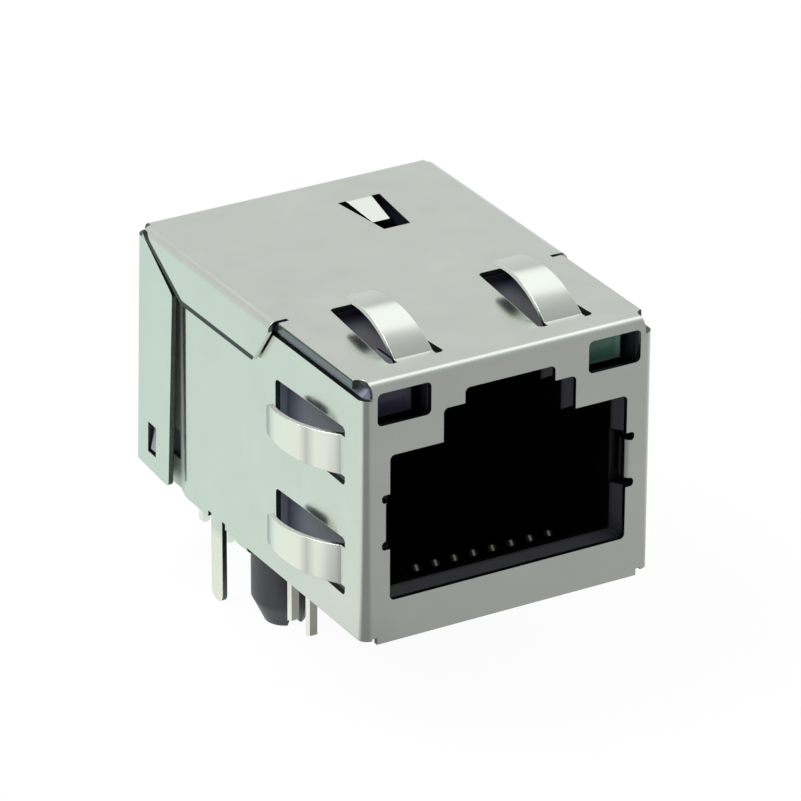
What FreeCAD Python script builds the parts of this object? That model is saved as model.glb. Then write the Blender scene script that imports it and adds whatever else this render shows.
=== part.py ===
import FreeCAD
import Part
import math
import os

# Shielded modular board jack with a plug port, two indicator lamps and built-in magnetics.
# Millimetres. Lengths are first set out from the jack's own front face and from the board:
# X to the right seen from the mouth, Y from the mouth to the rear, Z up from the board.
# The finished pieces are then moved so that the origin lies on the board, midway
# between the two locating posts.

# Sheet metal of the shield
sheet = 0.25
bend_radius = 0.5
stand_off = 0.25
shield_width = 15.4
shield_depth = 21.1
shield_height = 13.12
wall_lift = 0.24
wall_top_gap = 0.47
top_edge_inset = 0.06
top_skirt = 0.2
top_skirt_radius = 0.12
flap_gap = 0.09
rear_lean = 2.5

# Openings of the front plate
opening_width = 12.57
opening_bottom = 2.10
opening_shoulder = 9.47
step_width = 7.0
step_top = 11.15
recess_width = 4.76
recess_top = 11.92
cut_radius = 0.25
lamp_spacing = 11.11
lamp_window_width = 2.79
lamp_window_bottom = 11.05
lamp_window_height = 1.62
lip_low = 5.16
lip_high = 7.11
lip_notch = 0.42
lip_notch_radius = 0.17
lip_length = 0.65
lip_bend_radius = 0.42
corner_relief_radius = 0.51
corner_relief_setback = 0.58
foot_corner = 6.95
foot_relief_width = 0.24
foot_relief_height = 0.1

# Spring fingers
finger_root = 1.95
finger_apex = (4.0, 1.60)
finger_tip = (6.9, 1.13)
finger_root_radius = 0.3
finger_crest_radius = 5.6
finger_width = 2.0
finger_tip_width = 1.5
finger_tip_radius = 0.2
slot_front = 1.65
slot_rear = 8.1
slot_front_width = 2.94
top_slot_rear_width = 1.8
side_slot_rear_width = 2.5
top_finger_spacing = 7.92
side_finger_low = 3.42
side_finger_high = 9.03

# Folded flaps, rear cover and the tongue in the top
flap_front = 8.2
flap_relief_reach = 0.6
flap_rear = shield_depth - 1.05
flap_fold_rear = shield_depth - 0.65
flap_drop = 2.5
flap_low_front = 9.7
flap_low_rear = flap_rear - 3.45
cover_side_top = 3.68
cover_side_foot = 3.5
cover_lift = 0.5
cover_rear_lift = 0.65
cover_corner_drop = 1.75
cover_corner_setback = 0.94
cover_foot_radius = 0.25
latch_window_length = 0.8
latch_window_height = 1.6
latch_setback = 1.8
latch_level = 2.27
barb_clearance = 0.07
joggle_start = shield_depth - 4.05
joggle_length = 1.0
joggle_radius = 2.5
joggle_depth = 0.3
wall_end = joggle_start + 1.95
wall_notch_low = 1.75
wall_notch_high = 3.25
tongue_centre = 2.52
tongue_root = shield_depth - 2.8
tongue_tip = tongue_root - 2.2
tongue_drop = 0.3
tongue_width = 1.4
tongue_tip_width = 0.84
tongue_bend_radius = 2.0
tongue_slot_front = tongue_tip - 1.5
tongue_slot_front_width = 1.44
tongue_slot_rear_width = 2.3
tongue_clearance = 0.1

# Board tabs and under-body lugs of the shield
ground_tab_centre = joggle_start - 3.12
ground_tab_width = 1.07
ground_tab_depth = 3.6
ground_tab_tip_radius = 0.45
tab_relief = 0.3
lug_length = 1.1
lug_rear = ground_tab_centre - 1.88
lug_front = lug_rear - lug_length
lug_drop = 0.1
lug_radius = 0.34

# Plastic housing
housing_gap = 0.03
housing_depth = shield_depth - 0.7
housing_bottom = 0.55
port_width = 11.84
port_floor = 2.64
port_ceiling = 9.4
port_lead_in = 0.4
port_lead_in_depth = 0.55
latch_recess_width = 6.4
latch_recess_top = 11.2
latch_recess_depth = 9.0
key_recess_width = 4.2
key_recess_top = 12.0
key_recess_depth = 7.0
trough_width = 8.9
trough_front = 1.2
trough_floor = 0.95
lamp_pocket_side = 0.12
lamp_pocket_depth = 4.6
lead_channel = 0.5
finger_pocket_depth = 0.42
housing_rear_inset = 0.32
housing_corner = 0.3
housing_top_chamfer = 0.4
cheek_front = housing_depth - 1.2
cheek_gap = 0.1
tub_front = housing_depth - 6.5
tub_width = 13.1
port_depth = tub_front - 1.0
tub_roof = 0.82
post_spacing = 11.43
post_setback = 10.9
post_radius = 1.6
post_depth = 3.62
post_taper = 1.3
post_tip_radius = 0.98
post_slot_width = 0.7
post_slot_height = 2.4
pad_width = 2.4
pad_length = 1.4
front_pad_setback = 1.9
rear_pad_setback = port_depth - 0.1
rear_pad_spacing = 9.6

# Contacts and the block that carries them
contact_count = 8
contact_pitch = 1.016
contact_width = 0.45
contact_thickness = 0.3
contact_run_level = 1.4
contact_bend_setback = 2.75
contact_bend_radius = 0.65
contact_angle = 20.0
contact_reach = 6.6
contact_tail_setback = tub_front + 0.6
block_front = 3.6
block_rear = contact_tail_setback + 0.3
block_top = 2.0
groove_clearance = 0.05

# Magnetics module
base_front = block_rear + 0.15
base_rear = housing_depth + 0.15
base_width = 12.8
base_bottom = 0.6
base_top = 6.5
base_floor = 1.8
coil_pocket_length = 1.7
coil_pocket_wall = 0.35
board_thickness = 0.8
board_front = tub_front + 0.2
board_rear = base_rear - 0.05
board_width = 12.7
pin_columns = 5
pin_pitch = 2.54
pin_front_row = base_front + 2.55
pin_rear_row = pin_front_row + pin_pitch
pin_width = 0.4
pin_depth = 2.8
pin_point = 0.12
pin_clearance = 0.03
pin_stub = 0.5
coil_count = 4
coil_spacing = 3.0
core_radius = 1.2
core_bore = 0.6
core_length = 1.1
winding_thickness = 0.14
coil_sides = 12
winding_sides = 10
resistor_size = (0.8, 1.6, 0.5)
resistor_setback = pin_front_row + pin_pitch / 2
capacitor_size = (4.5, 2.0, 1.6)
capacitor_offset = 2.6
capacitor_setback = board_front + 1.9

# Indicator lamps
lamp_width = 2.4
lamp_height = 1.75
lamp_setback = 1.1
lamp_length = 3.5
lamp_level = 11.575
lamp_edge_radius = 0.45
lead_size = 0.4
lead_offset = 6.45
lead_front_row = 7.0
lead_rear_row = 8.75
lead_low_level = 11.2
lead_high_level = 12.1
lead_bend_radius = 0.5
lead_depth = 2.7
lead_point = 0.15

V = FreeCAD.Vector
half_width = shield_width / 2
cover_half = half_width + flap_gap + sheet
front_bottom = stand_off
wall_bottom = front_bottom + wall_lift
top_level = front_bottom + shield_height
wall_top = top_level - sheet - wall_top_gap
bend_level = top_level - bend_radius
top_half = half_width - top_edge_inset
housing_top = top_level - sheet - 2 * housing_gap
housing_front = sheet + housing_gap
housing_half = half_width - sheet - housing_gap
overrun = 0.5
tangent_share = 0.92
shortest_edge = 1e-6


# Plane views: a point (a, b) of a drawing is laid at a given distance along the view's axis
def front_view(a, b, at):
    return V(a, at, b)


def side_view(a, b, at):
    return V(at, a, b)


def top_view(a, b, at):
    return V(a, b, at)


def corner_arc(before, corner, after, radius):
    """Tangent points and middle point of the arc that rounds one corner of a drawing.
    The radius gives way where a side is too short for it."""
    back = before - corner
    ahead = after - corner
    half_angle = back.getAngle(ahead) / 2
    room = min(back.Length, ahead.Length) * tangent_share
    tangent = min(radius / math.tan(half_angle), room)
    radius = tangent * math.tan(half_angle)
    back.normalize()
    ahead.normalize()
    bisector = (back + ahead).normalize()
    centre = corner + bisector * (radius / math.sin(half_angle))
    return corner + back * tangent, centre - bisector * radius, corner + ahead * tangent


def outline(points, radii, view, at):
    """Closed face of a drawing, each corner rounded by its own radius."""
    flat = [V(a, b, 0) for a, b in points]
    count = len(flat)
    spans = []
    for index, corner in enumerate(flat):
        radius = radii[index]
        if radius > 0:
            spans.append(corner_arc(flat[index - 1], corner, flat[(index + 1) % count], radius))
        else:
            spans.append((corner, corner, corner))
    edges = []
    for index, (start, middle, end) in enumerate(spans):
        begin = view(start.x, start.y, at)
        finish = view(end.x, end.y, at)
        if radii[index] > 0:
            edges.append(Part.Arc(begin, view(middle.x, middle.y, at), finish).toShape())
        following = spans[(index + 1) % count][0]
        target = view(following.x, following.y, at)
        if finish.distanceToPoint(target) > shortest_edge:
            edges.append(Part.LineSegment(finish, target).toShape())
    return Part.Face(Part.Wire(edges))


def plate(points, view, start, end, radius=0.0, sharp=()):
    """Drawing given thickness from start to end along the view's axis. Its corners are rounded
    by one radius, apart from those numbered as sharp."""
    radii = [0 if index in sharp else radius for index in range(len(points))]
    return outline(points, radii, view, start).extrude(view(0, 0, end) - view(0, 0, start))


def box(x_low, x_high, y_low, y_high, z_low, z_high):
    return Part.makeBox(x_high - x_low, y_high - y_low, z_high - z_low, V(x_low, y_low, z_low))


def rectangle(a_low, a_high, b_low, b_high):
    return [(a_low, b_low), (a_high, b_low), (a_high, b_high), (a_low, b_high)]


def folded(path, radii, view, start, end, thickness=sheet):
    """Sheet folded along a path: the path is its outer face, the sheet lies to its right.
    A fold keeps the sheet's thickness round its whole arc."""
    flat = [V(a, b, 0) for a, b in path]
    directions = [(after - before).normalize() for before, after in zip(flat, flat[1:])]
    inner = []
    outer_radii = []
    inner_radii = []
    for index, point in enumerate(flat):
        arriving = directions[max(index - 1, 0)]
        leaving = directions[min(index, len(directions) - 1)]
        normal = V(arriving.y + leaving.y, -arriving.x - leaving.x, 0).normalize()
        reach = thickness / normal.dot(V(arriving.y, -arriving.x, 0))
        inner.append(point + normal * reach)
        turn = arriving.x * leaving.y - arriving.y * leaving.x
        radius = radii[index]
        outer_radii.append(radius if turn < 0 else max(radius - thickness, 0.0))
        inner_radii.append(max(radius - thickness, 0.0) if turn < 0 else radius)
    points = [(p.x, p.y) for p in flat + inner[::-1]]
    face = outline(points, outer_radii + inner_radii[::-1], view, start)
    return face.extrude(view(0, 0, end) - view(0, 0, start))


def fused(shapes):
    """One clean solid from shapes that share faces or overlap."""
    return shapes[0].multiFuse(shapes[1:]).removeSplitter()


def mirrored(shape):
    """The shape and its mirror image on the other side of the jack."""
    return [shape, shape.mirror(V(0, 0, 0), V(1, 0, 0))]


def placed(shape, offset, turn=0.0):
    """Copy of a shape turned about the Y axis and then moved."""
    copy = shape.copy()
    copy.rotate(V(0, 0, 0), V(0, 1, 0), turn)
    copy.translate(offset)
    return copy


def finger():
    """Spring finger in its own frame: Z points out of the sheet, Y runs to the rear."""
    path = [(slot_front - sheet, 0.0), (finger_root, 0.0), finger_apex, finger_tip]
    radii = [0, finger_root_radius, finger_crest_radius, 0]
    strip = folded(path, radii, side_view, -finger_width, finger_width)
    root_half = finger_width / 2
    tip_half = finger_tip_width / 2
    length_end = finger_tip[0]
    plan = [(-root_half, 0), (root_half, 0), (root_half, finger_root),
            (tip_half, length_end), (-tip_half, length_end), (-root_half, finger_root)]
    root_corners = (0, 1, 2, 5)
    return strip.common(plate(plan, top_view, -shield_height, shield_height,
                              finger_tip_radius, root_corners))


def finger_slot(rear_width, depth, radius=0.0):
    """Tapered slot round a finger, cut from just above the sheet down to the given depth."""
    front_half = slot_front_width / 2
    rear_half = rear_width / 2
    plan = [(-front_half, slot_front), (front_half, slot_front),
            (rear_half, slot_rear), (-rear_half, slot_rear)]
    return plate(plan, top_view, -depth, overrun, radius)


def finger_places():
    """Where each finger sits: offset, turn and the rear width of its slot."""
    places = []
    for side in (-1, 1):
        places.append((V(side * top_finger_spacing / 2, 0, top_level), 0.0, top_slot_rear_width))
        for level in (side_finger_low, side_finger_high):
            offset = V(side * half_width, 0, front_bottom + level)
            places.append((offset, side * 90.0, side_slot_rear_width))
    return places


def front_openings():
    """Everything cut out of the front plate: plug opening, latch steps, lamp windows, lip notches."""
    cutters = []
    low = front_bottom + opening_bottom
    shoulder = front_bottom + opening_shoulder
    plug_half = opening_width / 2
    step_half = step_width / 2
    recess_half = recess_width / 2
    step_level = front_bottom + step_top
    recess_level = front_bottom + recess_top
    points = [(-plug_half, low), (plug_half, low), (plug_half, shoulder), (step_half, shoulder),
              (step_half, step_level), (recess_half, step_level), (recess_half, recess_level),
              (-recess_half, recess_level), (-recess_half, step_level), (-step_half, step_level),
              (-step_half, shoulder), (-plug_half, shoulder)]
    inward_corners = (3, 5, 8, 10)
    cutters.append(plate(points, front_view, -overrun, sheet + overrun, cut_radius, inward_corners))
    lamp_low = front_bottom + lamp_window_bottom
    lamp_inner = lamp_spacing / 2 - lamp_window_width / 2
    window = plate(rectangle(lamp_inner, lamp_inner + lamp_window_width,
                             lamp_low, lamp_low + lamp_window_height),
                   front_view, -overrun, sheet + overrun, cut_radius)
    cutters += mirrored(window)
    lip = box(plug_half - overrun, plug_half + lip_bend_radius, -overrun, sheet + overrun,
              front_bottom + lip_low, front_bottom + lip_high)
    cutters += mirrored(lip)
    open_end = (0, 3)
    for level in (lip_low - lip_notch / 2, lip_high + lip_notch / 2):
        level += front_bottom
        notch = plate(rectangle(plug_half - overrun, plug_half + lip_notch,
                                level - lip_notch / 2, level + lip_notch / 2),
                      front_view, -overrun, sheet + overrun, lip_notch_radius, open_end)
        cutters += mirrored(notch)
    return cutters


def port_lips():
    """Short lips folded from the plug opening's sides back along the port."""
    plug_half = opening_width / 2
    path = [(plug_half + lip_bend_radius, 0), (plug_half, 0), (plug_half, lip_length)]
    lip = folded(path, [0, lip_bend_radius, 0], top_view,
                 front_bottom + lip_low, front_bottom + lip_high)
    return mirrored(lip)


def shield_body():
    """Front plate, side walls and top, folded from one blank."""
    end_half = half_width - joggle_depth
    wall_path = [(-end_half, wall_end), (-end_half, joggle_start + joggle_length),
                 (-half_width, joggle_start), (-half_width, 0), (half_width, 0),
                 (half_width, joggle_start), (end_half, joggle_start + joggle_length),
                 (end_half, wall_end)]
    wall_radii = [0, 0, joggle_radius, bend_radius, bend_radius, joggle_radius, 0, 0]
    walls = folded(wall_path[::-1], wall_radii, top_view, wall_bottom, wall_top)
    front = box(-foot_corner, foot_corner, 0, sheet, front_bottom, wall_top)
    fold_half = half_width - bend_radius
    crown = folded([(0, wall_top - sheet), (0, top_level), (flap_front, top_level)],
                   [0, bend_radius, 0], side_view, -fold_half, fold_half)
    top_low = top_level - sheet
    top_front = box(-fold_half, fold_half, bend_radius, flap_front, top_low, top_level)
    skirt = folded([(fold_half - sheet, top_level), (top_half, top_level),
                    (top_half, top_low - top_skirt)],
                   [0, top_skirt_radius, 0], front_view, bend_radius, flap_front)
    rear_half = cover_half - bend_radius
    rear_start = shield_depth - bend_radius
    top_rear = box(-rear_half, rear_half, flap_front - sheet, rear_start, top_low, top_level)
    return [walls, front, crown, top_front, top_rear] + mirrored(skirt)


def flaps():
    """Side flaps of the top, folded down over the walls."""
    flap_low = top_level - flap_drop
    rear_half = cover_half - bend_radius
    strip = folded([(rear_half - sheet, top_level), (cover_half, top_level), (cover_half, flap_low)],
                   [0, bend_radius, 0], front_view, flap_front, flap_fold_rear)
    shape = [(flap_front, top_level + overrun), (flap_front, bend_level), (flap_low_front, flap_low),
             (flap_low_rear, flap_low), (flap_rear, bend_level), (flap_fold_rear, bend_level),
             (flap_fold_rear, top_level + overrun)]
    return mirrored(strip.common(plate(shape, side_view, 0, cover_half + overrun)))


def rear_cover():
    """Rear cover hung from the top by its fold, with two sides that lap over the walls."""
    rear = shield_depth
    side_end = rear - cover_side_top
    low = front_bottom + cover_lift
    path = [(-cover_half, side_end), (-cover_half, rear), (cover_half, rear), (cover_half, side_end)]
    cover = folded(path, [0, bend_radius, bend_radius, 0], top_view, low, bend_level)
    shape = [(rear - cover_side_foot, low), (rear, front_bottom + cover_rear_lift),
             (rear + overrun, bend_level), (rear - cover_corner_setback, bend_level),
             (side_end, bend_level - cover_corner_drop)]
    radii = [cover_foot_radius, 0, 0, 0, cut_radius]
    side = outline(shape, radii, side_view, -cover_half - overrun)
    cover = cover.common(side.extrude(V(2 * (cover_half + overrun), 0, 0)))
    window_rear = rear - latch_setback + latch_window_length / 2
    window_low = front_bottom + latch_level - latch_window_height / 2
    window = plate(rectangle(window_rear - latch_window_length, window_rear,
                             window_low, window_low + latch_window_height),
                   side_view, half_width, cover_half + overrun)
    for cutter in mirrored(window):
        cover = cover.cut(cutter)
    pivot = V(0, rear - bend_radius, bend_level)
    cover.rotate(pivot, V(1, 0, 0), rear_lean)
    fold_half = cover_half - bend_radius
    section = folded_sector(pivot, 90.0 - rear_lean)
    fold = section.extrude(V(2 * fold_half, 0, 0))
    fold.translate(V(-fold_half, 0, 0))
    return [cover, fold]


def folded_sector(pivot, angle):
    """Ring sector of the sheet round the rear fold, from straight up towards the rear."""
    edges = []
    turn = math.radians(angle)
    ends = []
    for radius in (bend_radius, bend_radius - sheet):
        start = pivot + V(0, 0, radius)
        middle = pivot + V(0, math.sin(turn / 2), math.cos(turn / 2)) * radius
        end = pivot + V(0, math.sin(turn), math.cos(turn)) * radius
        edges.append(Part.Arc(start, middle, end).toShape())
        ends.append((start, end))
    for outer_point, inner_point in zip(ends[0], ends[1]):
        edges.append(Part.LineSegment(outer_point, inner_point).toShape())
    return Part.Face(Part.Wire(Part.__sortEdges__(edges)))


def ground_tabs():
    """Solder tabs that run down from the walls through the board."""
    low = ground_tab_centre - ground_tab_width / 2
    high = ground_tab_centre + ground_tab_width / 2
    points = rectangle(low, high, -ground_tab_depth, wall_bottom + overrun)
    radii = [ground_tab_tip_radius, ground_tab_tip_radius, 0, 0]
    face = outline(points, radii, side_view, half_width - sheet)
    return mirrored(face.extrude(V(sheet, 0, 0)))


def tab_reliefs():
    """Small clearances beside each ground tab, so that it bends without tearing the wall."""
    cutters = []
    for side in (-1, 1):
        centre = ground_tab_centre + side * (ground_tab_width + tab_relief) / 2
        relief = plate(rectangle(centre - tab_relief / 2, centre + tab_relief / 2,
                                 wall_bottom - tab_relief, wall_bottom + tab_relief),
                       side_view, half_width - 2 * sheet, half_width + overrun)
        cutters += mirrored(relief)
    return cutters


def lugs():
    """Lugs of the walls curled in under the housing."""
    level = front_bottom - lug_drop
    path = [(half_width, wall_bottom + sheet), (half_width, level), (half_width - lug_radius, level)]
    return mirrored(folded(path, [0, lug_radius, 0], front_view, lug_front, lug_rear))


def top_tongue():
    """Ground tongue lanced out of the top and pressed down."""
    path = [(tongue_tip, top_level - tongue_drop), (tongue_root, top_level),
            (tongue_root + sheet, top_level)]
    half = tongue_width / 2
    strip = folded(path, [0, tongue_bend_radius, 0], side_view,
                   tongue_centre - half, tongue_centre + half)
    tip_half = tongue_tip_width / 2
    plan = [(tongue_centre - tip_half, tongue_tip - overrun),
            (tongue_centre + tip_half, tongue_tip - overrun),
            (tongue_centre + half, tongue_root), (tongue_centre + half, tongue_root + overrun),
            (tongue_centre - half, tongue_root + overrun), (tongue_centre - half, tongue_root)]
    return strip.common(plate(plan, top_view, 0, top_level + overrun))


def tongue_slot(depth, margin=0.0):
    """Tapered slot round the ground tongue."""
    front_half = tongue_slot_front_width / 2 + margin
    rear_half = tongue_slot_rear_width / 2 + margin
    plan = [(tongue_centre - front_half, tongue_slot_front - margin),
            (tongue_centre + front_half, tongue_slot_front - margin),
            (tongue_centre + rear_half, tongue_root + margin),
            (tongue_centre - rear_half, tongue_root + margin)]
    return plate(plan, top_view, top_level - depth, top_level + overrun)


def shield():
    """The whole shield: one sheet, cut, folded and lanced."""
    blank = fused(shield_body() + flaps() + rear_cover())
    cutters = front_openings()
    for side in (-1, 1):
        corner = V(side * half_width, corner_relief_setback, wall_top)
        cutters.append(Part.makeCylinder(corner_relief_radius, top_level - wall_top + overrun, corner))
    foot = plate(rectangle(foot_corner, foot_corner + foot_relief_width, front_bottom - overrun,
                           wall_bottom + foot_relief_height),
                 front_view, -overrun, 2 * sheet)
    cutters += mirrored(foot)
    for offset, turn, rear_width in finger_places():
        cutters.append(placed(finger_slot(rear_width, 2 * sheet, cut_radius), offset, turn))
    end_half = half_width - joggle_depth
    notch = box(end_half - 2 * sheet, end_half + sheet / 2, joggle_start + joggle_length,
                wall_end + overrun, front_bottom + wall_notch_low, front_bottom + wall_notch_high)
    cutters += mirrored(notch)
    cutters.append(tongue_slot(2 * sheet))
    relief = box(top_half - flap_relief_reach, cover_half + overrun, flap_front - sheet, flap_front,
                 wall_top, top_level + overrun)
    cutters += mirrored(relief)
    cutters += tab_reliefs()
    cut = blank.cut(Part.makeCompound(cutters))
    spring = finger()
    added = [placed(spring, offset, turn) for offset, turn, rear_width in finger_places()]
    added += port_lips() + ground_tabs() + lugs() + [top_tongue()]
    return fused([cut] + added)


def post():
    """Split locating post with a tapered end."""
    straight = post_depth - post_taper
    shaft = Part.makeCylinder(post_radius, straight + housing_bottom, V(0, 0, -straight))
    taper = Part.makeCone(post_tip_radius, post_radius, post_taper, V(0, 0, -post_depth))
    peg = fused([shaft, taper])
    slot_half = post_slot_width / 2
    slot = box(-slot_half, slot_half, -2 * post_radius, 2 * post_radius,
               -post_depth - overrun, post_slot_height - post_depth)
    return peg.cut(slot)


def housing():
    """Moulded housing: plug port, latch steps, lamp pockets, rear tub, posts and board pads."""
    rear_half = housing_half - housing_rear_inset
    shoulder = housing_half - housing_top_chamfer
    section = [(-housing_half, housing_bottom), (housing_half, housing_bottom),
               (housing_half, housing_top - housing_top_chamfer), (shoulder, housing_top),
               (-shoulder, housing_top), (-housing_half, housing_top - housing_top_chamfer)]
    front_body = plate(section, front_view, housing_front, joggle_start - sheet)
    front_corners = [edge for edge in front_body.Edges
                     if edge.BoundBox.YMax < housing_front + overrun
                     and edge.BoundBox.ZMax > housing_bottom + overrun]
    front_body = front_body.makeChamfer(housing_corner, front_corners)
    rear_body = box(-rear_half, rear_half, joggle_start - sheet, housing_depth,
                    housing_bottom, housing_top)
    cheek_half = cover_half - sheet - cheek_gap
    cheeks = box(-cheek_half, cheek_half, cheek_front, housing_depth, wall_bottom + sheet,
                 wall_top - flap_drop)
    solids = [front_body, rear_body, cheeks]
    for side in (-1, 1):
        solids.append(placed(post(), V(side * post_spacing / 2, post_setback, 0)))
        pad_centre = side * rear_pad_spacing / 2
        solids.append(box(pad_centre - pad_length / 2, pad_centre + pad_length / 2,
                          rear_pad_setback - pad_length / 2, rear_pad_setback + pad_length / 2,
                          0, housing_bottom))
        solids.append(latch_barb(side, cheek_half))
    solids.append(box(-pad_width / 2, pad_width / 2, front_pad_setback - pad_length / 2,
                      front_pad_setback + pad_length / 2, 0, housing_bottom))
    body = fused(solids)
    return body.cut(Part.makeCompound(housing_cutters()))


def latch_barb(side, cheek_half):
    """Wedge that snaps into the window of the rear cover's side."""
    centre = shield_depth - latch_setback + latch_lean_shift()
    half_length = latch_window_length / 2 - 2 * barb_clearance
    half_height = latch_window_height / 2 - 2 * barb_clearance
    level = front_bottom + latch_level
    reach = cover_half - barb_clearance
    root = cheek_half - sheet
    points = [(root, level - half_height), (reach, level - half_height),
              (cheek_half, level + half_height), (root, level + half_height)]
    return plate([(side * a, b) for a, b in points], front_view,
                 centre - half_length, centre + half_length)


def latch_lean_shift():
    """How far the cover's lean moves its latch window to the rear."""
    drop = bend_level - front_bottom - latch_level
    return drop * math.sin(math.radians(rear_lean))


def housing_cutters():
    """Port, recesses, contact trough, lamp pockets, finger pockets and the rear tub."""
    cutters = []
    port_half = port_width / 2
    latch_half = latch_recess_width / 2
    key_half = key_recess_width / 2
    trough_half = trough_width / 2
    cavities = [(port_half, port_depth, port_floor, port_ceiling),
                (latch_half, latch_recess_depth, port_ceiling - overrun, latch_recess_top),
                (key_half, key_recess_depth, latch_recess_top - overrun, key_recess_top)]
    for half, depth, low, high in cavities:
        cutters.append(box(-half, half, -overrun, depth, low, high))
        cutters.append(lead_in(half, low, high))
    cutters.append(box(-trough_half, trough_half, trough_front, tub_front + overrun,
                       trough_floor, port_floor + overrun))
    cutters.append(box(-tub_width / 2, tub_width / 2, tub_front, housing_depth + overrun,
                       -overrun, housing_top - tub_roof))
    lamp_half = lamp_width / 2 + lamp_pocket_side
    lamp_low = front_bottom + lamp_level - lamp_height / 2 - lamp_pocket_side
    lamp_high = lamp_low + lamp_height + 2 * lamp_pocket_side
    channel_low = lead_offset - lead_channel / 2
    channel_high = lead_offset + lead_channel / 2
    level_low = front_bottom + lead_low_level - lead_channel / 2
    for side in (-1, 1):
        centre = side * lamp_spacing / 2
        cutters.append(box(centre - lamp_half, centre + lamp_half, -overrun, lamp_pocket_depth,
                           lamp_low, lamp_high))
        near, far = sorted((side * channel_low, side * channel_high))
        cutters.append(box(near, far, lamp_pocket_depth - overrun, lead_rear_row + lead_channel / 2,
                           level_low, lamp_high))
        for row in (lead_front_row, lead_rear_row):
            cutters.append(box(near, far, row - lead_channel / 2, row + lead_channel / 2,
                               -overrun, lamp_high))
    for offset, turn, rear_width in finger_places():
        depth = sheet + finger_pocket_depth
        cutters.append(placed(finger_slot(rear_width, depth), offset, turn))
    plug_half = opening_width / 2
    lip_pocket = box(plug_half - overrun, plug_half + lip_bend_radius + sheet, -overrun,
                     lip_length + sheet, front_bottom + lip_low - lip_notch,
                     front_bottom + lip_high + lip_notch)
    cutters += mirrored(lip_pocket)
    cutters.append(tongue_slot(tub_roof + sheet + overrun, tongue_clearance))
    return cutters


def lead_in(half, low, high):
    """Tapered mouth of one cavity, widest at the housing's front face."""
    grow = port_lead_in
    return Part.makeWedge(-half - grow, housing_front, low - grow, low, -half,
                          half + grow, housing_front + port_lead_in_depth, high + grow, high, half)


def contact():
    """One contact: tail, run along the block, hairpin at the mouth and the sprung arm."""
    half = contact_thickness / 2
    radius = contact_bend_radius
    low = contact_run_level - half
    nose = contact_bend_setback - radius
    angle = math.radians(contact_angle)
    board_level = base_top + board_thickness + pin_stub
    hairpin = hairpin_corners(nose, low, angle)
    arm_end = (hairpin[1][0] + contact_reach * math.cos(angle),
               hairpin[1][1] + contact_reach * math.sin(angle))
    path = [(contact_tail_setback + half, board_level), (contact_tail_setback + half, low)]
    path += [hairpin[0], hairpin[1], arm_end]
    radii = [0, 0, radius, radius, 0]
    return folded(path, radii, side_view, -contact_width / 2, contact_width / 2, contact_thickness)


def hairpin_corners(nose, low, angle):
    """Corners of the two bends at the mouth: the run turns up, then back along the arm."""
    radius = contact_bend_radius
    half_turn = (math.pi / 2 - angle) / 2
    rise = radius + radius * math.tan(half_turn)
    return (nose, low), (nose, low + rise)


def contact_block():
    """Carrier in the floor of the port, with a groove for each contact."""
    block = box(-trough_width / 2 + groove_clearance, trough_width / 2 - groove_clearance,
                block_front, block_rear, trough_floor, block_top)
    groove_half = contact_width / 2 + groove_clearance
    groove_floor = contact_run_level - contact_thickness / 2 - groove_clearance
    cutters = []
    for centre in contact_places():
        cutters.append(box(centre - groove_half, centre + groove_half, block_front - overrun,
                           block_rear + overrun, groove_floor, block_top + overrun))
    return block.cut(Part.makeCompound(cutters))


def contact_places():
    middle = (contact_count - 1) / 2
    return [(index - middle) * contact_pitch for index in range(contact_count)]


def pin_places():
    middle = (pin_columns - 1) / 2
    return [((index - middle) * pin_pitch, row)
            for row in (pin_front_row, pin_rear_row) for index in range(pin_columns)]


def coil_places():
    middle = (coil_count - 1) / 2
    return [(index - middle) * coil_spacing for index in range(coil_count)]


def module_base():
    """Open tray that stands the coils upright and holds the signal pins."""
    half = base_width / 2
    body = box(-half, half, base_front, base_rear, base_bottom, base_top)
    pocket_half = half - coil_pocket_wall
    pocket_front = base_front + coil_pocket_wall
    gap_front = pin_front_row + pin_width / 2 + coil_pocket_wall
    gap_rear = pin_rear_row - pin_width / 2 - coil_pocket_wall
    cutters = [box(-pocket_half, pocket_half, pocket_front, pocket_front + coil_pocket_length,
                   base_floor, base_top + overrun),
               box(-pocket_half, pocket_half, gap_front, gap_rear, base_floor, base_top + overrun)]
    cutters += pin_holes(base_bottom - overrun, base_top + overrun)
    return body.cut(Part.makeCompound(cutters))


def pin_holes(low, high):
    """Square holes for the shanks of the signal pins."""
    half = pin_width / 2 + pin_clearance
    return [box(place_x - half, place_x + half, place_y - half, place_y + half, low, high)
            for place_x, place_y in pin_places()]


def circuit_board():
    """Small board on top of the tray, drilled for the pins and the contact tails."""
    half = board_width / 2
    board = box(-half, half, board_front, board_rear, base_top, base_top + board_thickness)
    cutters = pin_holes(base_top - overrun, base_top + board_thickness + overrun)
    hole_half = contact_width / 2 + pin_clearance
    for centre in contact_places():
        cutters.append(box(centre - hole_half, centre + hole_half,
                           contact_tail_setback - contact_thickness / 2 - pin_clearance,
                           contact_tail_setback + contact_thickness / 2 + pin_clearance,
                           base_top - overrun, base_top + board_thickness + overrun))
    return board.cut(Part.makeCompound(cutters))


def signal_pin():
    """Square pin from below the board up through the tray and the small board, with a cut point."""
    top = base_top + board_thickness + pin_stub
    half = pin_width / 2
    shoulder = pin_point - pin_depth
    profile = [(-half, top), (-half, shoulder), (pin_point - half, -pin_depth),
               (half - pin_point, -pin_depth), (half, shoulder), (half, top)]
    return plate(profile, front_view, -half, half).common(plate(profile, side_view, -half, half))


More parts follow.
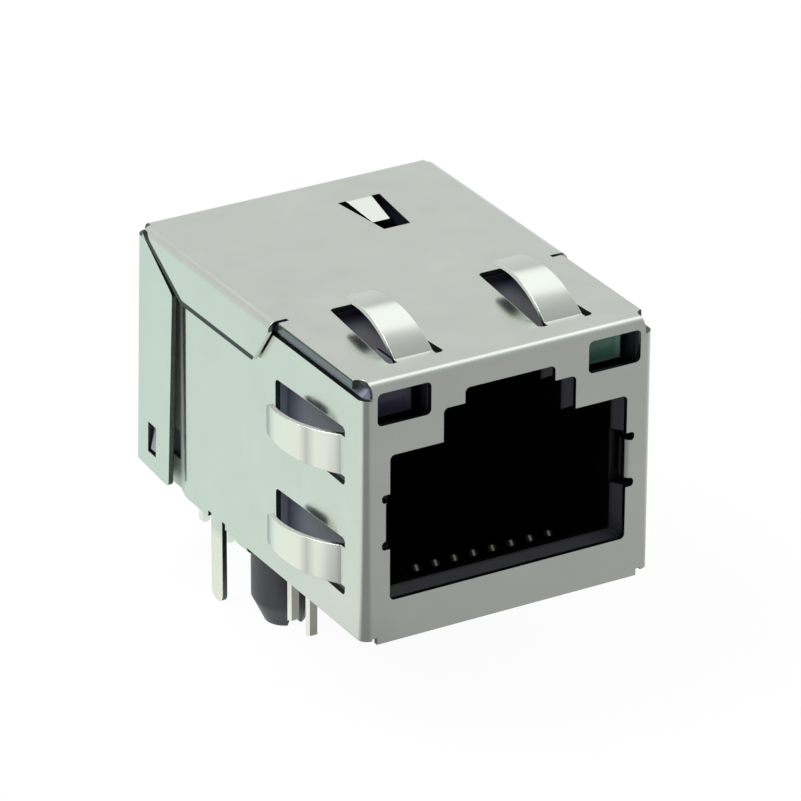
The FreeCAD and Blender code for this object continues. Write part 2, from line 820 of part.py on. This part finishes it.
def ring(outer_radius, inner_radius, length, sides=coil_sides):
    """Many-sided ring with its axis along Y, centred on the origin. With fewer sides than the
    full turn has, it is open at the top."""
    step = 2 * math.pi / coil_sides
    start = math.pi / 2 + (coil_sides - sides) * step / 2
    turns = [start + index * step for index in range(sides + 1)]
    outer = [(outer_radius * math.cos(turn), outer_radius * math.sin(turn)) for turn in turns]
    inner = [(inner_radius * math.cos(turn), inner_radius * math.sin(turn)) for turn in turns]
    if sides < coil_sides:
        return plate(outer + inner[::-1], front_view, -length / 2, length / 2)
    disc = plate(outer[1:], front_view, -length / 2, length / 2)
    return disc.cut(plate(inner[1:], front_view, -length, length))


def winding():
    """Wire wound round a core, as one closed sleeve over most of the ring."""
    wire = winding_thickness
    sleeve = ring(core_radius + wire, core_bore - wire, core_length + 2 * wire, winding_sides)
    return sleeve.cut(ring(core_radius, core_bore, core_length))


def lamp():
    """Lamp body with rounded front edges."""
    half = lamp_width / 2
    low = front_bottom + lamp_level - lamp_height / 2
    body = box(-half, half, lamp_setback, lamp_setback + lamp_length, low, low + lamp_height)
    front_edges = [edge for edge in body.Edges
                   if edge.BoundBox.YMax < lamp_setback + lamp_edge_radius]
    return body.makeFillet(lamp_edge_radius, front_edges)


def lamp_lead(level, row):
    """Square lead from the back of a lamp, bent down through the housing and the board."""
    half = lead_size / 2
    top = front_bottom + level + half
    path = [(lamp_setback + lamp_length, top), (row + half, top), (row + half, -lead_depth)]
    lead = folded(path, [0, lead_bend_radius, 0], side_view, -half, half, lead_size)
    cut_off = [(row - half - overrun, -lead_depth - overrun),
               (row + half + overrun, -lead_depth - overrun),
               (row + half + overrun, -lead_depth), (row + half, -lead_depth),
               (row - half, -lead_depth + lead_point), (row - half - overrun, -lead_depth + lead_point)]
    return lead.cut(plate(cut_off, side_view, -lead_size, lead_size))


def chip(size, corner):
    return Part.makeBox(size[0], size[1], size[2], corner)


def export(name, shape):
    """Write one piece, moved so that the origin is midway between the posts on the board."""
    moved = shape.copy()
    moved.translate(V(0, -post_setback, 0))
    moved.exportStep("parts/" + name + ".step")


os.makedirs("parts", exist_ok=True)

export("shield", shield())
export("housing", housing())
export("contact_block", contact_block())
export("module_base", module_base())
export("circuit_board", circuit_board())

spring_contact = contact()
for number, centre in enumerate(contact_places(), start=1):
    export("contact_%d" % number, placed(spring_contact, V(centre, 0, 0)))

pin = signal_pin()
for number, (place_x, place_y) in enumerate(pin_places(), start=1):
    export("signal_pin_%d" % number, placed(pin, V(place_x, place_y, 0)))

coil_setback = base_front + coil_pocket_wall + coil_pocket_length / 2
coil_level = base_floor + core_radius + winding_thickness
coil_core = ring(core_radius, core_bore, core_length)
coil_winding = winding()
for number, centre in enumerate(coil_places(), start=1):
    seat = V(centre, coil_setback, coil_level)
    export("coil_core_%d" % number, placed(coil_core, seat))
    export("coil_winding_%d" % number, placed(coil_winding, seat))

board_top = base_top + board_thickness
for number, centre in enumerate(coil_places(), start=1):
    corner = V(centre - resistor_size[0] / 2, resistor_setback - resistor_size[1] / 2, board_top)
    export("resistor_%d" % number, chip(resistor_size, corner))
capacitor_corner = V(capacitor_offset - capacitor_size[0] / 2,
                     capacitor_setback - capacitor_size[1] / 2, board_top)
export("chip_capacitor", chip(capacitor_size, capacitor_corner))

lamp_body = lamp()
low_lead = lamp_lead(lead_low_level, lead_front_row)
high_lead = lamp_lead(lead_high_level, lead_rear_row)
for side, side_name in ((-1, "left"), (1, "right")):
    export("lamp_" + side_name, placed(lamp_body, V(side * lamp_spacing / 2, 0, 0)))
    export("lamp_lead_%s_front" % side_name, placed(low_lead, V(side * lead_offset, 0, 0)))
    export("lamp_lead_%s_rear" % side_name, placed(high_lead, V(side * lead_offset, 0, 0)))
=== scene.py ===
import math

import bmesh
import bpy
from mathutils import Matrix, Vector
from mathutils.bvhtree import BVHTree


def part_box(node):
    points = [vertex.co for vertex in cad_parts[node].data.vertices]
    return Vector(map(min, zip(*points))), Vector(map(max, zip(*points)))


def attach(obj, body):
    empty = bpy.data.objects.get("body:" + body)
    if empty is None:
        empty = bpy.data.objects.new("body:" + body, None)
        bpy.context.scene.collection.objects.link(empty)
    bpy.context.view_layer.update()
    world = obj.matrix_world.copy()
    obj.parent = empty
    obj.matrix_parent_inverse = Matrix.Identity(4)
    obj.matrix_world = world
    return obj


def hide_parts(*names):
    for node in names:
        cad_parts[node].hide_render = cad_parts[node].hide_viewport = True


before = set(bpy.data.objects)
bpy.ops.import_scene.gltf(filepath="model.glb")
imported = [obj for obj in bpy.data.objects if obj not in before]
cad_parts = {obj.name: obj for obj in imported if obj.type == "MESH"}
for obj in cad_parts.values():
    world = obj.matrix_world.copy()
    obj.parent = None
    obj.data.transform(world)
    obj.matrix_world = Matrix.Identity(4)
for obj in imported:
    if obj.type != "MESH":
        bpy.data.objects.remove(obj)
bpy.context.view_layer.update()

# Shield: one sheet of nickel-plated copper alloy, blanked, pierced and folded in a press, and
# snapped round the housing. The plating is satin and a little green beside white paper, and
# the cut edges are duller, with the thin bright lip that blanking rolls over.
mm = 0.001
sheet = 0.25
rolled_lip = 0.05 * mm


def colour(code):
    """Linear colour of an sRGB hex value."""
    parts = [int(code[place:place + 2], 16) / 255 for place in (1, 3, 5)]
    linear = [part / 12.92 if part <= 0.04045 else ((part + 0.055) / 1.055) ** 2.4 for part in parts]
    return linear + [1.0]


def finish_of(name):
    """A new material with its surface shader, and the coordinates fixed to the object."""
    material = bpy.data.materials.new(name)
    material.use_nodes = True
    tree = material.node_tree
    surface = tree.nodes["Principled BSDF"]
    place = tree.nodes.new("ShaderNodeTexCoord").outputs["Object"]
    return material, tree, surface, place


def add(tree, kind, inputs=(), **settings):
    """Adds a node, sets its settings, and sets or links its inputs."""
    made = tree.nodes.new(kind)
    for name, value in settings.items():
        setattr(made, name, value)
    for name, value in dict(inputs).items():
        if isinstance(value, bpy.types.NodeSocket):
            tree.links.new(value, made.inputs[name])
        else:
            made.inputs[name].default_value = value
    return made


def noise(tree, place, scale, detail, roughness=0.5):
    """Cloudy value between 0 and 1."""
    settings = {"Vector": place, "Scale": scale, "Detail": detail, "Roughness": roughness}
    return add(tree, "ShaderNodeTexNoise", settings).outputs["Fac"]


def maths(tree, operation, *values):
    """Result of one arithmetic node."""
    return add(tree, "ShaderNodeMath", dict(enumerate(values)), operation=operation).outputs[0]


def product(tree, first, *others):
    """Shares multiplied, so that a place counts only where it lies in all of them."""
    for other in others:
        first = maths(tree, "MULTIPLY", first, other)
    return first


def fade(tree, value, start, end, low=0.0, high=1.0):
    """Goes from low to high while the value goes from start to end, and is level beyond."""
    span = {"Value": value, "From Min": start, "From Max": end, "To Min": low, "To Max": high}
    return add(tree, "ShaderNodeMapRange", span).outputs["Result"]


def blended(tree, share, first, second):
    """Two colours mixed, with that share of the second."""
    return add(tree, "ShaderNodeMix", {0: share, 6: first, 7: second}, data_type="RGBA").outputs[2]


def shaded(tree, value, stops):
    """Colour looked up along a ramp; a stop is a hex colour or the level of a grey."""
    ramp = add(tree, "ShaderNodeValToRGB", {"Fac": value})
    elements = ramp.color_ramp.elements
    while len(elements) < len(stops):
        elements.new(0.5)
    for element, (position, shade) in zip(elements, stops):
        element.position = position
        element.color = colour(shade) if isinstance(shade, str) else [shade] * 3 + [1.0]
    return ramp.outputs["Color"]


def rounded_edge(tree, radius):
    """Normal that rounds the sharp edges a little, for the bright line along them."""
    return add(tree, "ShaderNodeBevel", {"Radius": radius}, samples=6).outputs["Normal"]


def merged_copy(name):
    """The CAD node's own surface in millimetres, its loose triangles merged."""
    bpy.ops.object.select_all(action="DESELECT")
    copy = bpy.data.objects.new(name + "_surface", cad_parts[name].data.copy())
    bpy.context.scene.collection.objects.link(copy)
    copy.select_set(True)
    bpy.context.view_layer.objects.active = copy
    copy.data.materials.clear()
    copy.data.transform(Matrix.Scale(1000.0, 4))
    bpy.ops.mesh.customdata_custom_splitnormals_clear()
    bpy.ops.object.mode_set(mode="EDIT")
    bpy.ops.mesh.select_all(action="SELECT")
    bpy.ops.mesh.remove_doubles(threshold=0.001)
    bpy.ops.object.mode_set(mode="OBJECT")
    return copy


def smoothed(copy):
    """Flat areas joined and kept flat, bends shaded smooth, and the size back to metres."""
    bpy.ops.object.mode_set(mode="EDIT")
    bpy.ops.mesh.select_all(action="SELECT")
    bpy.ops.mesh.dissolve_limited(angle_limit=math.radians(0.5), delimit={"MATERIAL"})
    bpy.ops.object.mode_set(mode="OBJECT")
    bpy.ops.object.shade_smooth_by_angle(angle=math.radians(28))
    bpy.ops.object.modifier_add(type="WEIGHTED_NORMAL")
    copy.modifiers[-1].keep_sharp = True
    bpy.ops.object.modifier_apply(modifier=copy.modifiers[-1].name)
    copy.data.transform(Matrix.Scale(0.001, 4))


shield = merged_copy("shield")

# Nickel plate on copper alloy, satin from the rolled strip: mirror-like but soft, with fine
# lines along the strip and faint clouds where it was handled.
nickel, tree, surface, place = finish_of("Satin nickel plate on rolled sheet")
surface.inputs["Metallic"].default_value = 1.0
clouds = noise(tree, place, 420.0, 3.0, 0.55)
tone = shaded(tree, clouds, [(0.30, "#D5DBD3"), (0.70, "#DAE0D8")])
across, along = 26000.0, 900.0
rolled = []
for stretch in ((along, across, across), (across, along, across)):
    stretched = add(tree, "ShaderNodeMapping", {"Vector": place, "Scale": stretch}).outputs["Vector"]
    rolled.append(noise(tree, stretched, 1.0, 2.0))
facing = add(tree, "ShaderNodeSeparateXYZ", {"Vector": tree.nodes["Texture Coordinate"].outputs["Normal"]})
sideways = maths(tree, "ABSOLUTE", facing.outputs["X"])
lines = add(tree, "ShaderNodeMix", {0: sideways, 2: rolled[0], 3: rolled[1]}).outputs[0]
x, y, z = add(tree, "ShaderNodeSeparateXYZ", {"Vector": place}).outputs
reach = maths(tree, "ABSOLUTE", x)

# The springs of the walls, from their root to the free tip, carry a painted reflection: bright,
# with one painted duller stripe and a greyer tip.
spring_end = -3.2 * mm
on_spring = product(tree, fade(tree, reach, 7.76 * mm, 7.90 * mm), maths(tree, "LESS_THAN", y, spring_end))
painted_reflection = shaded(tree, fade(tree, y, -9.0 * mm, -4.0 * mm),
               [(0.0, "#EDF0E8"), (0.24, "#EFEFE6"), (0.33, "#C8C9C4"), (0.42, "#EFF0E4"), (0.78, "#F0F3E8"),
                (0.88, "#DCE0DA"), (0.96, "#A9AEAA"), (1.0, "#9EA39F")])
tone = blended(tree, on_spring, tone, painted_reflection)

# The tabs that go through the board are tinned over the nickel.
tone = blended(tree, fade(tree, z, 0.2 * mm, -0.4 * mm), tone, colour("#F4EFE2"))

# The folded flaps get a painted shadow: a dark line along their lower and rear edges, as shade in the gap.
flap_low, flap_corner, flap_lean = 10.87 * mm, 5.7 * mm, math.radians(30.1)
from_low = maths(tree, "SUBTRACT", z, flap_low)
back_run = maths(tree, "MULTIPLY_ADD", y, -math.sin(flap_lean), math.sin(flap_lean) * flap_corner)
from_back = maths(tree, "MULTIPLY_ADD", from_low, math.cos(flap_lean), back_run)
from_edge = maths(tree, "MINIMUM", from_low, from_back)
painted_gap_shadow = product(tree, fade(tree, from_edge, 0.23 * mm, 0.28 * mm, 1.0, 0.0),
                     maths(tree, "GREATER_THAN", from_edge, -0.04 * mm),
                     maths(tree, "GREATER_THAN", reach, 7.90 * mm))
tone = blended(tree, painted_gap_shadow, tone, colour("#2C3531"))

# The narrow skirt of the top, in front of the flaps, is painted a darker grey than the plating.
skirt = product(tree, fade(tree, z, 12.75 * mm, 12.80 * mm), fade(tree, z, 13.30 * mm, 13.24 * mm),
                fade(tree, reach, 7.50 * mm, 7.55 * mm), maths(tree, "LESS_THAN", y, -2.8 * mm),
                maths(tree, "GREATER_THAN", y, -10.4 * mm))
tone = blended(tree, skirt, tone, colour("#6F7579"))
tree.links.new(tone, surface.inputs["Base Color"])

# The step of the walls behind the last spring is pressed, and so rougher than the flat sheet.
pressed = product(tree, fade(tree, y, 6.1 * mm, 6.6 * mm), fade(tree, reach, 7.69 * mm, 7.66 * mm),
                  maths(tree, "LESS_THAN", z, 12.8 * mm), maths(tree, "LESS_THAN", y, 9.5 * mm))
gloss = fade(tree, clouds, 0.3, 0.7, 0.14, 0.18)
gloss = add(tree, "ShaderNodeMix", {0: pressed, 2: gloss, 3: 0.65}).outputs[0]
tree.links.new(gloss, surface.inputs["Roughness"])
relief = add(tree, "ShaderNodeBump", {"Height": lines, "Strength": 0.10, "Distance": 0.004 * mm,
                                      "Normal": rounded_edge(tree, rolled_lip)})
tree.links.new(relief.outputs["Normal"], surface.inputs["Normal"])

# Sheared edge of the same sheet: the press leaves a burnished band and a torn band, so it is
# darker and rougher than the plating. Edges that stand proud of the body get a painted highlight.
sheared, tree, surface, place = finish_of("Sheared edge of plated sheet")
surface.inputs["Metallic"].default_value = 1.0
tears = noise(tree, place, 9000.0, 3.0)
torn = shaded(tree, tears, [(0.35, "#48514C"), (0.65, "#5C655F")])
painted_reflection = shaded(tree, tears, [(0.35, "#E6EAE4"), (0.65, "#F4F6F1")])
x, y, z = add(tree, "ShaderNodeSeparateXYZ", {"Vector": place}).outputs
reach = maths(tree, "ABSOLUTE", x)
out_of_wall = product(tree, fade(tree, reach, 7.75 * mm, 7.85 * mm), maths(tree, "LESS_THAN", y, -0.8 * mm))
out_of_top = fade(tree, z, 13.32 * mm, 13.40 * mm)
proud = maths(tree, "MAXIMUM", out_of_wall, out_of_top)
# Painted highlight on the cut edges that stand proud of the body.
tree.links.new(blended(tree, proud, torn, painted_reflection), surface.inputs["Base Color"])
surface.inputs["Roughness"].default_value = 0.36
relief = add(tree, "ShaderNodeBump", {"Height": tears, "Strength": 0.25, "Distance": 0.01 * mm,
                                      "Normal": rounded_edge(tree, rolled_lip)})
tree.links.new(relief.outputs["Normal"], surface.inputs["Normal"])

# A face with one sheet thickness of metal behind it, or too wide for a cut edge, is plated.
shield.data.materials.append(nickel)
shield.data.materials.append(sheared)
skin = bmesh.new()
skin.from_mesh(shield.data)
skin.normal_update()
inside = BVHTree.FromBMesh(skin)
for face in skin.faces:
    start = face.calc_center_median() - face.normal * sheet / 25
    depth = inside.ray_cast(start, -face.normal)[3]
    width = 2 * face.calc_area() / max(edge.calc_length() for edge in face.edges)
    if width < 1.2 * sheet and (depth is None or not 0.8 * sheet < depth < 1.1 * sheet):
        face.material_index = 1
# Slivers that lie flat beside a plated face belong to it.
for face in skin.faces:
    for edge in face.edges:
        for other in edge.link_faces:
            if other.material_index == 0 and face.normal.dot(other.normal) > 0.98:
                face.material_index = 0
skin.to_mesh(shield.data)
skin.free()
smoothed(shield)
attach(shield, "root")
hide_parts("shield")

# Housing: one moulding in glass-filled black polyester, from a lightly eroded mould, which
# carries every other piece. It gives a dry black with a violet cast, softly shining where it
# faces the light.
housing = merged_copy("housing")
moulding, tree, surface, place = finish_of("Moulded black polyester")
speckle = noise(tree, place, 14000.0, 2.0)
flow = noise(tree, place, 500.0, 2.0)
black = shaded(tree, flow, [(0.3, "#1A1A29"), (0.7, "#1F1F30")])

# The flanks are painted pale, as a painted sheen, and the port behind its entry is painted blacker,
# as painted shade.
x, y, z = add(tree, "ShaderNodeSeparateXYZ", {"Vector": place}).outputs
reach = maths(tree, "ABSOLUTE", x)
painted_flank_sheen = product(tree, fade(tree, reach, 7.0 * mm, 7.1 * mm), fade(tree, z, 0.8 * mm, 1.2 * mm))
port_level, port_rise = 6.8 * mm, 5.7 * mm
off_level = maths(tree, "ABSOLUTE", maths(tree, "SUBTRACT", z, port_level))
in_port = product(tree, maths(tree, "LESS_THAN", reach, 6.6 * mm), maths(tree, "LESS_THAN", off_level, port_rise),
                  fade(tree, y, -10.2 * mm, -10.0 * mm))
tone = blended(tree, painted_flank_sheen, black, colour("#7E8798"))
tone = blended(tree, in_port, tone, colour("#07070B"))
tree.links.new(tone, surface.inputs["Base Color"])
shine = fade(tree, painted_flank_sheen, 0.0, 1.0, 0.75, 1.0)
shine = add(tree, "ShaderNodeMix", {0: in_port, 2: shine, 3: 0.25}).outputs[0]
tree.links.new(shine, surface.inputs["Specular IOR Level"])
tree.links.new(fade(tree, flow, 0.3, 0.7, 0.34, 0.42), surface.inputs["Roughness"])
eroded = add(tree, "ShaderNodeBump", {"Height": speckle, "Strength": 0.2, "Distance": 0.01 * mm,
                                      "Normal": rounded_edge(tree, 0.04 * mm)})
tree.links.new(eroded.outputs["Normal"], surface.inputs["Normal"])
housing.data.materials.append(moulding)
smoothed(housing)
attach(housing, "root")
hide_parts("housing")


# Contact block and tray: two more mouldings in the same black, one pushed into the floor of
# the port to hold the contacts, one in the rear tub to hold the coils and pins.
def clad(node, material):
    """One material on a CAD node."""
    node.data.materials.clear()
    node.data.materials.append(material)


for name in ("contact_block", "module_base"):
    clad(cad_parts[name], moulding)

# Spring contacts: phosphor bronze strip, gold over nickel, hooked into the contact block. The
# gold is painted near black as shade in the port, but for a painted highlight down the middle of each.
pitch = 1.016 * mm
gold, tree, surface, place = finish_of("Gold plate on spring bronze")
surface.inputs["Metallic"].default_value = 1.0
painted_shade_gold = shaded(tree, noise(tree, place, 2500.0, 2.0), [(0.3, "#1D1A15"), (0.7, "#2A261F")])
spot = add(tree, "ShaderNodeSeparateXYZ", {"Vector": place})
off_middle = maths(tree, "PINGPONG", maths(tree, "ADD", spot.outputs["X"], pitch / 2), pitch / 2)
painted_highlight_track = fade(tree, off_middle, 0.08 * mm, 0.04 * mm)
tree.links.new(blended(tree, painted_highlight_track, painted_shade_gold, colour("#85817A")), surface.inputs["Base Color"])
surface.inputs["Roughness"].default_value = 0.12
tree.links.new(rounded_edge(tree, 0.12 * mm), surface.inputs["Normal"])
for number in range(1, 9):
    contact = merged_copy("contact_%d" % number)
    contact.data.materials.append(gold)
    smoothed(contact)
    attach(contact, "root")
    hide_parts("contact_%d" % number)

# Pins and lamp leads: copper wire cut to length and pressed in, with a tin coat. The coat is
# pale and a little clouded, with soft highlights.
tin, tree, surface, place = finish_of("Tin coat on copper wire")
surface.inputs["Metallic"].default_value = 1.0
cloud = noise(tree, place, 3000.0, 3.0)
tree.links.new(shaded(tree, cloud, [(0.3, "#F4F5EA"), (0.7, "#FCFCF4")]), surface.inputs["Base Color"])
surface.inputs["Roughness"].default_value = 0.38
uneven = add(tree, "ShaderNodeBump", {"Height": cloud, "Strength": 0.3, "Distance": 0.02 * mm})
tree.links.new(uneven.outputs["Normal"], surface.inputs["Normal"])
for name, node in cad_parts.items():
    if name.startswith(("signal_pin_", "lamp_lead_")):
        clad(node, tin)

# Indicator lamps: epoxy cast round the chip, one smoky and one green, pushed into the pockets
# from behind. Each has a wet gloss, and a painted highlight pools at its right and lower edges.
for name, middle, deep, light, glint in (
        ("lamp_left", -5.555 * mm, "#333246", "#403F53", "#6A6874"),
        ("lamp_right", 5.555 * mm, "#446A5C", "#527A6C", "#A9C6C2")):
    lens, tree, surface, place = finish_of("Cast epoxy of " + name.replace("_", " "))
    tint = shaded(tree, noise(tree, place, 700.0, 1.0), [(0.3, deep), (0.7, light)])
    spot = add(tree, "ShaderNodeSeparateXYZ", {"Vector": place})
    right_edge = fade(tree, spot.outputs["X"], middle + 0.6 * mm, middle + 1.0 * mm)
    low_edge = fade(tree, spot.outputs["Z"], 11.35 * mm, 11.15 * mm)
    painted_edge_light = maths(tree, "MULTIPLY", maths(tree, "MAXIMUM", right_edge, low_edge), 0.6)
    tree.links.new(blended(tree, painted_edge_light, tint, colour(glint)), surface.inputs["Base Color"])
    surface.inputs["Roughness"].default_value = 0.12
    surface.inputs["IOR"].default_value = 1.53
    surface.inputs["Specular IOR Level"].default_value = 0.3
    lamp = merged_copy(name)
    lamp.data.materials.append(lens)
    smoothed(lamp)
    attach(lamp, "root")
    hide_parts(name)

# Small circuit board in the rear tub, pushed over the pins of the tray. Its solder mask shows
# the glass weave below it as two close greens.
laminate, tree, surface, place = finish_of("Green solder mask on glass laminate")
mask = shaded(tree, noise(tree, place, 2500.0, 1.0), [(0.3, "#1E5A32"), (0.7, "#2A7040")])
tree.links.new(mask, surface.inputs["Base Color"])
surface.inputs["Roughness"].default_value = 0.3
clad(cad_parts["circuit_board"], laminate)

# Coils, resistors and capacitor on that board and its tray: dark gritty ferrite, glossy brown
# winding wire, glazed black chips and one dull tan chip.
for start, label, dark, light, rough in (
        ("coil_core_", "Pressed ferrite", "#26262A", "#323236", 0.6),
        ("coil_winding_", "Enamelled copper wire", "#8A4A22", "#A8622F", 0.3),
        ("resistor_", "Glazed chip resistor", "#1C1C1E", "#28282A", 0.25),
        ("chip_capacitor", "Fired chip capacitor", "#A58A6B", "#B79C7C", 0.5)):
    body, tree, surface, place = finish_of(label)
    grit = shaded(tree, noise(tree, place, 9000.0, 2.0), [(0.3, dark), (0.7, light)])
    tree.links.new(grit, surface.inputs["Base Color"])
    surface.inputs["Roughness"].default_value = rough
    for name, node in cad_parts.items():
        if name.startswith(start):
            clad(node, body)

# Floor: a white studio table under the tips of the posts. It is matt and takes the soft
# shadow of the part.
floor_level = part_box("housing")[0].z
bpy.ops.object.select_all(action="DESELECT")
bpy.ops.mesh.primitive_plane_add(size=3.0, location=(0, 0, floor_level))
floor = bpy.context.active_object
floor.name = "studio_floor"
table, tree, surface, place = finish_of("White studio table")
surface.inputs["Base Color"].default_value = colour("#F4F4F4")
surface.inputs["Roughness"].default_value = 1.0
surface.inputs["Specular IOR Level"].default_value = 0.0

# Metal sees the table with a painted tone: paler at the left and behind, and painted shade on
# the camera's side.
round_table = add(tree, "ShaderNodeTexGradient", {"Vector": place}, gradient_type="RADIAL")
tone = shaded(tree, round_table.outputs["Fac"],
              [(0.0, "#F3F6F3"), (0.05, "#F0F2F0"), (0.10, 0.24), (0.18, 0.24), (0.24, "#ADAAAC"), (0.40, "#B5B2B4"),
               (0.52, 0.85), (0.60, "#DFECE7"), (0.80, "#E0F0EC"), (0.90, "#E8F4EE"), (1.0, "#F3F6F3")])
path = add(tree, "ShaderNodeLightPath").outputs
clear = maths(tree, "MAXIMUM", path["Is Camera Ray"], path["Is Transmission Ray"])
shown = maths(tree, "MULTIPLY", clear, 0.96)
mirrored = maths(tree, "MULTIPLY", path["Is Glossy Ray"], 0.95)
share = maths(tree, "MAXIMUM", shown, mirrored)
glow = blended(tree, path["Is Glossy Ray"], (1.0, 1.0, 1.0, 1.0), tone)
white = add(tree, "ShaderNodeEmission", {"Color": glow, "Strength": 1.0})
blend = add(tree, "ShaderNodeMixShader", {0: share, 1: surface.outputs[0], 2: white.outputs[0]})
tree.links.new(blend.outputs[0], tree.nodes["Material Output"].inputs["Surface"])
floor.data.materials.append(table)

# Studio: a white tent with its bright panel overhead to the rear, darker on the camera's side,
# and one soft box at the rear left that draws the shadow.
tent = bpy.data.worlds.new("Studio tent")
bpy.context.scene.world = tent
tent.use_nodes = True
tree = tent.node_tree
cloth = tree.nodes["Background"]
direction = add(tree, "ShaderNodeTexCoord").outputs["Generated"]
_, y, z = add(tree, "ShaderNodeSeparateXYZ", {"Vector": direction}).outputs
profile = add(tree, "ShaderNodeCombineXYZ", {"X": y, "Y": z})
sweep = add(tree, "ShaderNodeTexGradient", {"Vector": profile.outputs["Vector"]}, gradient_type="RADIAL")
glow = shaded(tree, sweep.outputs["Fac"],
              [(0.25, 0.45), (0.5, 0.80), (0.57, 0.76), (0.59, 0.70), (0.600, 0.68), (0.616, 1.2), (0.63, 1.3),
               (0.705, 1.3), (0.735, 0.72), (0.79, 0.50), (0.83, 0.45), (0.95, 0.45)])
tree.links.new(glow, cloth.inputs["Color"])
cloth.inputs["Strength"].default_value = 1.0

bpy.ops.object.light_add(type="AREA", location=(-0.25, 0.12, 0.42))
key = bpy.context.active_object
key.name = "soft_box"
key.data.shape = "SQUARE"
key.data.size = 0.28
key.data.energy = 1.4
key.rotation_euler = (Vector((0, 0, 0.005)) - key.location).to_track_quat("-Z", "Y").to_euler()

# Camera: high on the front left, from far enough away to keep the edges nearly parallel.
# It leans by a quarter of a degree.
ahead = Vector((0.45246, 0.77721, -0.43730)).normalized()
turn = math.radians(-30.2065)
level = Vector((math.cos(turn), math.sin(turn), 0.0))
upright = level.cross(ahead)
roll = math.radians(0.2552)
right = level * math.cos(roll) + upright * math.sin(roll)
up = upright * math.cos(roll) - level * math.sin(roll)
view = bpy.data.cameras.new("camera")
camera = bpy.data.objects.new("camera", view)
bpy.context.scene.collection.objects.link(camera)
turned = Matrix((right, up, -ahead)).transposed().to_4x4()
camera.matrix_world = Matrix.Translation((-0.126803, -0.218805, 0.129337)) @ turned
view.sensor_width = 36.0
view.lens = 268.35
view.clip_start = 0.01
bpy.context.scene.camera = camera
bpy.context.scene.view_settings.view_transform = "Standard"
